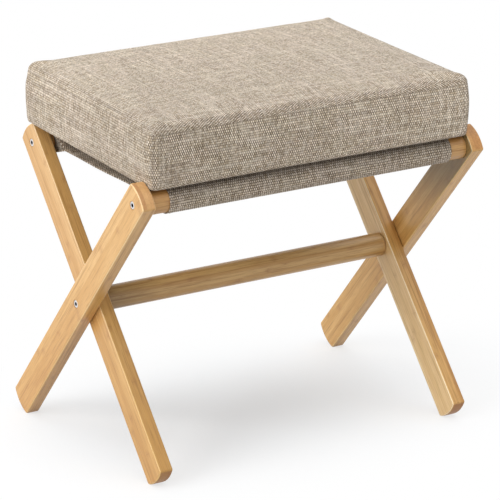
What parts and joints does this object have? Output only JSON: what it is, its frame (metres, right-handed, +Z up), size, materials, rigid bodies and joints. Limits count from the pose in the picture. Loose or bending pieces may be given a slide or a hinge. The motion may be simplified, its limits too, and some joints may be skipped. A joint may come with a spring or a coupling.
{
  "type": "folding footstool",
  "caption": "Folding footstool with crossed bamboo legs, a cloth sling on round rails and a boxed fabric cushion.",
  "frame": {"origin": "on the floor, under the middle of the pivot axis", "axes": "+X along the rails to the right, +Y from the front to the back, +Z up"},
  "size_m": [0.48, 0.339, 0.457],
  "materials": {
    "bamboo": "clear lacquered laminated bamboo",
    "steel": "zinc plated",
    "brass": "plain",
    "nylon": "natural",
    "linen": "slubby woven linen look",
    "wadding": "polyester wadding",
    "foam": "open cell foam",
    "tape": "woven nylon tape"
  },
  "bodies": {
    "inner_frame": {"inner_left_leg": "bamboo", "inner_right_leg": "bamboo", "rear_rail": "bamboo", "rear_rail_inserts": "brass", "rear_rail_screws": "steel", "stretcher": "bamboo", "stretcher_inserts": "brass", "pivot_screws": "steel", "pivot_spacers": "nylon", "sling_rear_sleeve": "linen", "sling_panel": "linen"},
    "outer_frame": {"outer_left_leg": "bamboo", "outer_right_leg": "bamboo", "front_rail": "bamboo", "front_rail_inserts": "brass", "front_rail_screws": "steel", "sling_front_sleeve": "linen"},
    "cushion": {"cushion_cover": "linen", "cushion_wadding": "wadding", "cushion_foam": "foam", "cushion_loop_strips": "tape", "sling_hook_strips": "tape", "cushion_zip": "tape", "cushion_zip_slider": "steel"}
  },
  "joints": [
    {"name": "fold", "type": "hinge", "parent": "inner_frame", "child": "outer_frame", "pos_m": [0, 0, 0.18942], "axis": [-1, 0, 0], "range_deg": [0, 73], "deforming": ["sling_panel"]},
    {"name": "cushion_lift", "type": "hinge", "parent": "inner_frame", "child": "cushion", "pos_m": [0, 0.14392, 0.35382], "axis": [-1, 0, 0], "range_deg": [0, 36.5]}
  ],
  "couplings": [
    {"joint": "cushion_lift", "follows": "fold", "ratio": 0.5}
  ]
}
